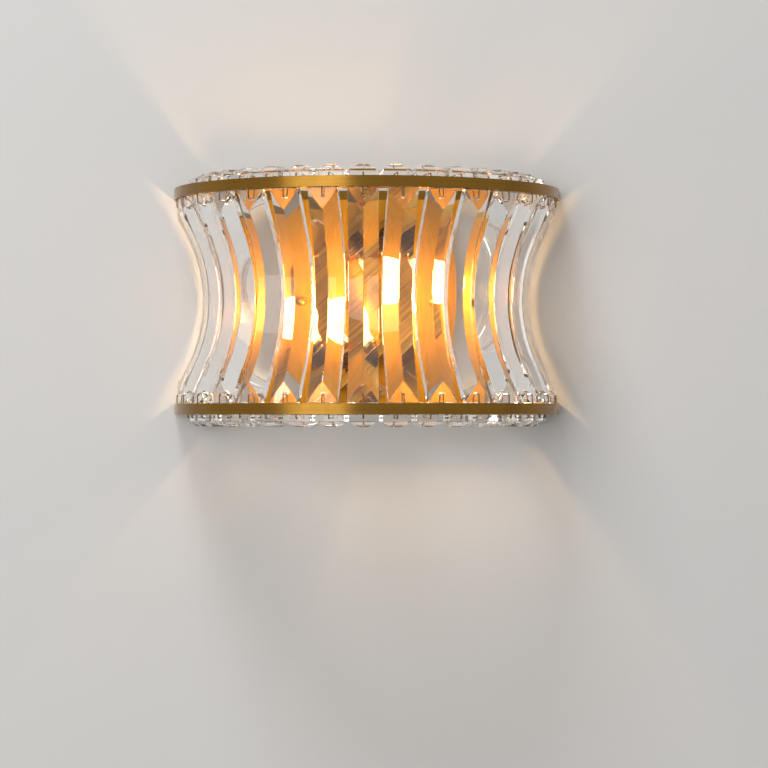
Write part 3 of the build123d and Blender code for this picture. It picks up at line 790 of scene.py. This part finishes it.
def hollow_rise(radius, lean, height):
    """How far an arc with straight leaning ends has risen at this height over or under its middle."""
    distance = abs(height)
    curved = min(distance, radius * sin(lean))
    return radius - sqrt(radius**2 - curved**2) + (distance - curved) * tan(lean)


def bar_mesh():
    """One crystal bar along +X: waisted, ridged, with a three-cornered facet at each end."""
    size = sizes()
    low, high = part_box("crystal_08")
    half_width, half_length = (high.x - low.x) / 2, high.z
    facet, back_waist = -low.y, -high.y
    edge_waist = back_waist + size.bar_edge
    ridge_waist = edge_waist + size.bar_ridge
    apex = half_length - size.bar_facet
    edge_arc = hollow_arc(facet - edge_waist, half_length, size.edge_lean)
    ridge_arc = hollow_arc(facet - ridge_waist, apex, size.ridge_lean)
    middle_steps, end_steps = 44, 8
    heights = [-half_length + size.bar_facet * i / end_steps for i in range(end_steps)]
    heights += [-apex + 2 * apex * i / middle_steps for i in range(middle_steps)]
    heights += [apex + size.bar_facet * i / end_steps for i in range(end_steps + 1)]
    rings = []
    for height in heights:
        edge = edge_waist + hollow_rise(edge_arc, size.edge_lean, height)
        ridge = ridge_waist + hollow_rise(ridge_arc, size.ridge_lean, height)
        back = edge - size.bar_edge
        cut = 0.0
        if ridge > facet:
            cut = half_width * (ridge - facet) / (ridge - edge)
            ridge = facet
        outline = [(edge, -half_width), (ridge, -cut), (ridge, cut)]
        outline += [(edge, half_width), (back, half_width), (back, -half_width)]
        rings.append([(x, y, height) for x, y in outline])
    shape = bmesh.new()
    skin_rings(shape, rings)
    bmesh.ops.dissolve_degenerate(shape, edges=shape.edges, dist=1e-6)
    bevel_sharp(shape, size.cut_bevel, radians(18))
    start, hole_height = back_waist - size.bar_edge, half_length - size.bar_hole_drop
    depth = facet - start + size.bar_edge
    spots = [Vector((start, 0, height)) for height in (-hole_height, hole_height)]
    holes = [(spot, Vector((1, 0, 0)), depth, size.bar_hole) for spot in spots]
    return drilled(finish_mesh(shape), holes)


class SCONCE_OT_bars(bpy.types.Operator):
    """Build the crystal bars of the curtain"""

    bl_idname = "sconce.bars"
    bl_label = "Crystal bars"

    def execute(self, context):
        bar = bar_mesh()
        for i, node in enumerate(BAR_NODES):
            swing = FRONT + sizes().bar_step * (i - (len(BAR_NODES) - 1) / 2)
            mesh = bar.copy()
            mesh.transform(Matrix.Rotation(swing, 4, "Z"))
            show(f"bar_{node}", mesh, "Cut_crystal", "crystal", node)
        return {"FINISHED"}


# ---- hooks
class SCONCE_OT_hooks(bpy.types.Operator):
    """Bend the wire hooks that hold the bars to the two rings"""

    bl_idname = "sconce.hooks"
    bl_label = "Wire hooks"

    def execute(self, context):
        size = sizes()
        low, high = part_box("top_hooks")
        wire, tail = size.wire_radius, size.hook_tail
        front = -low.y - wire
        top, bottom = high.z - wire, low.z + wire
        # the back leg's radius is read from the front hook of the model
        back = min(-spot.y for spot in points_of("top_hooks") if abs(spot.x) < wire and spot.y < 0) + wire
        legs = [(front - tail, top), (front, top), (front, bottom)]
        legs += [(back, bottom), (back, top), (back + tail, top)]
        ring = {"Count": len(BAR_NODES), "Turn": size.bar_step}
        wires = {**ring, "Wire Radius": wire, "Bend Radius": size.wire_bend}
        tree = shared_tree("Repeated bent wire", wire_copies_tree)
        for side in SIDES:
            hook = line_mesh([(x, 0, z) for x, z in legs])
            name = f"wire_{side}_hooks"
            show_round_ring(name, hook, tree, wires, "Bronze_wire", "dark_wire", f"{side}_hooks")
        return {"FINISHED"}


# ---- tiles
def tile_span():
    """Inner and outer radius of the tile ring, from a strip down the middle of the model's front tile."""
    half_strip = 6 * MM
    inner = min(-spot.y for spot in points_of("top_tiles") if abs(spot.x) < half_strip)
    return inner, -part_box("top_tiles")[0].y


def tile_mesh():
    """One cut tile along +X on the plate: upright girdle, sloping crown, square table."""
    size = sizes()
    low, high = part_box("top_tiles")
    inner, outer = tile_span()
    centre, half_depth = (inner + outer) / 2, (outer - inner) / 2
    half_width = half_depth - size.tile_side_gap
    half_table = size.tile_table / 2
    table_across = half_width - (half_depth - half_table)
    foot = size.tile_foot
    levels = [
        (half_depth - foot, half_width - foot, low.z + size.tile_gap),
        (half_depth, half_width, low.z + foot),
        (half_depth, half_width, low.z + size.tile_girdle),
        (half_table, table_across, high.z),
    ]
    corners = ((-1, -1), (1, -1), (1, 1), (-1, 1))
    rings = [[(centre + x * deep, y * wide, level) for x, y in corners] for deep, wide, level in levels]
    shape = bmesh.new()
    skin_rings(shape, rings)
    bevel_sharp(shape, size.cut_bevel, radians(15))
    outward = Vector((1, 0, 0))
    height = low.z + size.tile_hole_height
    over = 1 * MM
    depth = size.tile_hole_depth + over
    holes = [
        (Vector((inner - over, 0, height)), outward, depth, size.tile_hole),
        (Vector((outer + over, 0, height)), -outward, depth, size.tile_hole),
    ]
    return drilled(finish_mesh(shape), holes)


class SCONCE_OT_tiles(bpy.types.Operator):
    """Build the cut tiles on both rings and the wire pins that hold them"""

    bl_idname = "sconce.tiles"
    bl_label = "Tiles and pins"

    def execute(self, context):
        size = sizes()
        inner, outer = tile_span()
        low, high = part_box("top_tile_pins")
        wire, reach = size.wire_radius, size.pin_reach
        offset = -low.y - wire - outer
        foot, top = low.z, high.z - wire
        pins = (
            [(outer + offset, 0, foot), (outer + offset, 0, top), (outer - reach, 0, top)],
            [(inner - offset, 0, foot), (inner - offset, 0, top), (inner + reach, 0, top)],
        )
        ring = {"Count": size.tile_count, "Turn": size.tile_step}
        wires = {**ring, "Wire Radius": wire, "Bend Radius": size.wire_bend}
        copies = shared_tree("Evenly spaced copies", copies_tree)
        bent = shared_tree("Repeated bent wire", wire_copies_tree)
        for side in SIDES:
            name, node = f"cut_{side}_tiles", f"{side}_tiles"
            show_round_ring(name, tile_mesh(), copies, ring, "Cut_crystal", "crystal", node)
            name, node = f"wire_{side}_pins", f"{side}_tile_pins"
            show_round_ring(name, line_mesh(*pins), bent, wires, "Bronze_wire", "dark_wire", node)
        return {"FINISHED"}


# ---- lamps
class SCONCE_OT_lamps(bpy.types.Operator):
    """Build the two lit lamps and dress their holders"""

    bl_idname = "sconce.lamps"
    bl_label = "Lamps and holders"

    def execute(self, context):
        size = sizes()
        collar, edge = size.collar_radius, size.collar_edge
        for side in ("upper", "lower"):
            body = f"{side}_lamp"
            axis = joint_axis(f"{body}_unscrew")
            origin = middle(f"{side}_holder_sleeve")
            place = aimed(origin, axis)
            low, high = reach_along(f"{body}_cap", origin, axis)
            foot = high - size.collar_height
            cap = thread_mesh(
                place,
                (low, high - size.collar_neck),
                size.thread_radius,
                size.thread_depth,
                size.thread_pitch,
                [(collar - edge, foot - edge), (collar, foot), (collar, high)],
            )
            name, node = f"threaded_{body}_cap", f"{body}_cap"
            show(name, cap, "Lamp_cap_metal", "lamp_cap_metal", node, body=body)
            low, high = reach_along(f"{body}_core", origin, axis)
            core = turned_mesh(self.core_profile(low, high), place, 28)
            self.paint_glow(core, origin, axis, high)
            show(f"lit_{body}_core", core, "Lit_core", "glowing_glass", f"{body}_core", body=body)
            dress("Lamp_glass", f"{body}_globe")
            dress("Insulator", f"{body}_contact")
            dress("Dark_holder", f"{side}_holder_body")
            dress("Trim_brass", f"{side}_holder_sleeve")
        dress("Trim_brass", "holder_contacts")
        return {"FINISHED"}

    @staticmethod
    def core_profile(low, high):
        """Outline of the lit inside: a stem and a ball."""
        ball, stem = sizes().core_ball, sizes().core_stem
        hub = 0.01 * MM
        start = -acos(stem / ball)
        steps = 14
        profile = [(hub, low), (stem, low)]
        for i in range(steps + 1):
            around = start + (pi / 2 - start) * i / steps
            profile.append((max(ball * cos(around), hub), high - ball + ball * sin(around)))
        return profile

    @staticmethod
    def paint_glow(mesh, origin, axis, tip):
        """Marks how strongly each point glows: full on the dome of the ball, fading towards its stem."""
        dark, bright = (tip - share * sizes().core_ball for share in GLOW_FADE)
        glow = mesh.attributes.new("glow", "FLOAT", "POINT")
        for point, vertex in zip(glow.data, mesh.vertices):
            height = (vertex.co - origin).dot(axis)
            point.value = min(1.0, max(0.0, (height - dark) / (bright - dark)))


# ---- backplate and inner parts
class SCONCE_OT_backplate(bpy.types.Operator):
    """Dress the backplate, the carrier and everything behind them"""

    bl_idname = "sconce.backplate"
    bl_label = "Backplate and inner parts"

    def execute(self, context):
        dress("Sheet_brass", "backplate")
        dress("Carrier_brass", "lamp_carrier")
        dress("Trim_brass", "cap_nuts", "earth_terminal", "tray_nuts", "ring_nuts")
        dress("Trim_brass", "holder_nipples", "nipple_nuts")
        dress("Zinc_steel", "wall_bracket")
        dress("White_block", "terminal_block")
        dress("Brown_rubber", "grommets")
        dress("Gold_sheath", "upper_lamp_lead", "lower_lamp_lead")
        dress("Earth_sheath", "earth_lead")
        return {"FINISHED"}


# ---- fasteners
class SCONCE_OT_fasteners(bpy.types.Operator):
    """Build the recessed screw heads and threaded rods"""

    bl_idname = "sconce.fasteners"
    bl_label = "Screws and studs"

    def execute(self, context):
        size = sizes()
        head, rise, shank = size.screw_head, size.screw_head_height, size.screw_radius
        low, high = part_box("carrier_screws")
        seat, tip = low.y + rise, high.y
        screws = [
            screw_mesh(aimed((0, seat, z), OUTWARD), head, rise, shank, tip - seat)
            for z in (low.z + head, high.z - head)
        ]
        self.place("cross_carrier_screws", screws, "Trim_brass", "brass_trim", "carrier_screws")
        low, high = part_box("earth_screw")
        seat, tip = low.y + rise, high.y
        spot = middle("earth_screw")
        earth = screw_mesh(aimed((spot.x, seat, spot.z), OUTWARD), head, rise, shank, tip - seat)
        self.place("cross_earth_screw", [earth], "Trim_brass", "zinc_steel", "earth_screw")
        low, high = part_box("ring_screws")
        depth = (low.y + high.y) / 2
        seat = high.z - rise
        reach = seat - min(spot.z for spot in points_of("ring_screws") if spot.z > 0)
        screws = [
            screw_mesh(aimed((x, depth, side * seat), (0, 0, side)), head, rise, shank, reach)
            for x in (low.x + head, high.x - head)
            for side in (1, -1)
        ]
        self.place("cross_ring_screws", screws, "Trim_brass", "brass_trim", "ring_screws")
        low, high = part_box("terminal_screws")
        radius, rise = (high.z - low.z) / 2, high.y - low.y
        screws = [
            screw_mesh(aimed((x, low.y, 0), (0, 1, 0)), radius, rise, radius, 0.0, slots=1)
            for x in (low.x + radius, 0.0, high.x - radius)
        ]
        self.place("slotted_terminal_screws", screws, "Zinc_steel", "zinc_steel", "terminal_screws")
        self.place("threaded_studs", self.studs(size), "Zinc_steel", "zinc_steel", "bracket_studs")
        return {"FINISHED"}

    @staticmethod
    def place(name, meshes, finish, slot, node):
        """Shows fasteners as one piece in place of their node."""
        whole = joined(meshes)
        crisp(whole)
        show(name, whole, finish, slot, node)

    @staticmethod
    def studs(size):
        """Threaded rods on round feet, for the two cap nuts."""
        low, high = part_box("bracket_studs")
        foot, rise = (high.z - low.z) / 2, size.stud_foot
        hub = 0.02 * MM
        profile = [(hub, 0.0), (foot, 0.0), (foot, rise), (hub, rise)]
        thread = (size.stud_radius, size.stud_thread_depth, size.stud_thread_pitch)
        made = []
        for x in (low.x + foot, high.x - foot):
            place = aimed((x, high.y, 0), OUTWARD)
            made.append(turned_mesh(profile, place, 40))
            made.append(thread_mesh(place, (rise, high.y - low.y), *thread, sides=24, steps=8))
        return made


# ---- stage
def pale_surface(name, one_sided):
    """Matt pale paint; a one-sided sheet can't be seen from its back."""
    made, tree = new_material(name)
    surfaced(made, {"Base Color": finishes().wall, "Roughness": 0.9, "Specular IOR Level": 0.1})
    if one_sided:
        halves = {
            0: add(tree, "ShaderNodeNewGeometry")["Backfacing"],
            1: tree.nodes["Principled BSDF"].outputs[0],
            2: add(tree, "ShaderNodeBsdfTransparent")[0],
        }
        output = tree.nodes["Material Output"]
        feed_all(tree, output, {"Surface": add(tree, "ShaderNodeMixShader", halves)[0]})
    return made


def stage_sheet(name, corners, surface):
    """A flat sheet of the stage."""
    mesh = bpy.data.meshes.new(name)
    mesh.from_pydata(corners, [], [tuple(range(len(corners)))])
    mesh.materials.append(surface)
    sheet = new_object(name, mesh)
    return sheet


def soft_light(name, place, side, power):
    """A square soft light that looks at the sconce."""
    data = bpy.data.lights.new(name, "AREA")
    data.shape = "SQUARE"
    data.size = side
    data.energy = power
    lamp = new_object(name, data)
    lamp.location = place
    lamp.rotation_euler = (-Vector(place)).to_track_quat("-Z", "Y").to_euler()


class SCONCE_OT_stage(bpy.types.Operator):
    """Set up the pale wall and floor, the soft lights and the camera"""

    bl_idname = "sconce.stage"
    bl_label = "Stage, lights and camera"

    def execute(self, context):
        scene = context.scene
        reach, floor_height, wall_gap = 4.0, -2.6, 0.0005

        def corners(low):
            return ((-reach, low), (reach, low), (reach, reach), (-reach, reach))

        upright = [(x, wall_gap, z) for x, z in corners(floor_height)]
        wall = stage_sheet("pale_wall", upright, pale_surface("Wall_paint", True))
        wall.visible_diffuse = False
        wall.visible_shadow = False
        level = [(x, y, floor_height) for x, y in corners(-reach)]
        stage_sheet("pale_floor", level, pale_surface("Floor_paint", False))
        soft_light("key_light", (-0.8, -1.3, 3.2), 1.2, 66)
        soft_light("fill_light", (-1.6, -3.0, 0.4), 2.2, 40)
        soft_light("back_light", (0.6, 2.2, 1.4), 1.6, 30)
        self.light_world(scene)
        self.place_camera(scene)
        scene.view_settings.view_transform = "Standard"
        scene.cycles.max_bounces = 24
        scene.cycles.glossy_bounces = 16
        scene.cycles.transmission_bounces = 20
        scene.cycles.transparent_max_bounces = 16
        return {"FINISHED"}

    @staticmethod
    def light_world(scene):
        """Even pale surroundings: dim as a light, brighter where they are looked at."""
        world = bpy.data.worlds.new("Pale_room")
        world.use_nodes = True
        tree = world.node_tree
        path = add(tree, "ShaderNodeLightPath")
        through = math_node(tree, "MAXIMUM", path["Is Glossy Ray"], path["Is Transmission Ray"])
        seen = math_node(tree, "MAXIMUM", path["Is Camera Ray"], through)
        as_light, as_background = 0.35, 0.62
        strength = ranged(tree, seen, target=(as_light, as_background))
        feed_all(tree, tree.nodes["Background"], {"Color": (1.0, 0.985, 0.96), "Strength": strength})
        scene.world = world

    @staticmethod
    def place_camera(scene):
        """The photograph's view: nearly level, a little below and to the right of the middle."""
        data = bpy.data.cameras.new("view_camera")
        image_side, focal_pixels = 768, 2830
        level_x, level_y = 425, 410
        data.sensor_width = 36
        data.lens = data.sensor_width * focal_pixels / image_side
        data.shift_x = (image_side / 2 - level_x) / image_side
        data.shift_y = (level_y - image_side / 2) / image_side
        data.clip_end = 50
        camera = new_object("view_camera", data)
        camera.location = (0.0575, -2.807, -0.1067)
        camera.rotation_euler = (radians(90), 0, 0)
        scene.camera = camera


# ---- add-on
class SCONCE_PT_panel(bpy.types.Panel):
    """Sidebar panel with the sconce's builders and values"""

    bl_idname = "SCONCE_PT_panel"
    bl_label = "Crystal wall sconce"
    bl_space_type = "VIEW_3D"
    bl_region_type = "UI"
    bl_category = "Sconce"

    def draw(self, context):
        column = self.layout.column()
        for builder in BUILDERS:
            column.operator(builder.bl_idname)
        for group in (context.scene.sconce_sizes, context.scene.sconce_finishes):
            for name in group.bl_rna.properties.keys():
                if name not in ("name", "rna_type"):
                    column.prop(group, name)


BUILDERS = (
    SCONCE_OT_stage,
    SCONCE_OT_bands,
    SCONCE_OT_bars,
    SCONCE_OT_hooks,
    SCONCE_OT_tiles,
    SCONCE_OT_lamps,
    SCONCE_OT_backplate,
    SCONCE_OT_fasteners,
)
CLASSES = (SconceSizes, SconceFinishes, *BUILDERS, SCONCE_PT_panel)


def register():
    for item in CLASSES:
        bpy.utils.register_class(item)
    bpy.types.Scene.sconce_sizes = bpy.props.PointerProperty(type=SconceSizes)
    bpy.types.Scene.sconce_finishes = bpy.props.PointerProperty(type=SconceFinishes)


def unregister():
    del bpy.types.Scene.sconce_finishes
    del bpy.types.Scene.sconce_sizes
    for item in reversed(CLASSES):
        bpy.utils.unregister_class(item)


def main():
    register()
    for builder in BUILDERS:
        group, name = builder.bl_idname.split(".")
        getattr(getattr(bpy.ops, group), name)()


if __name__ == "__main__":
    main()
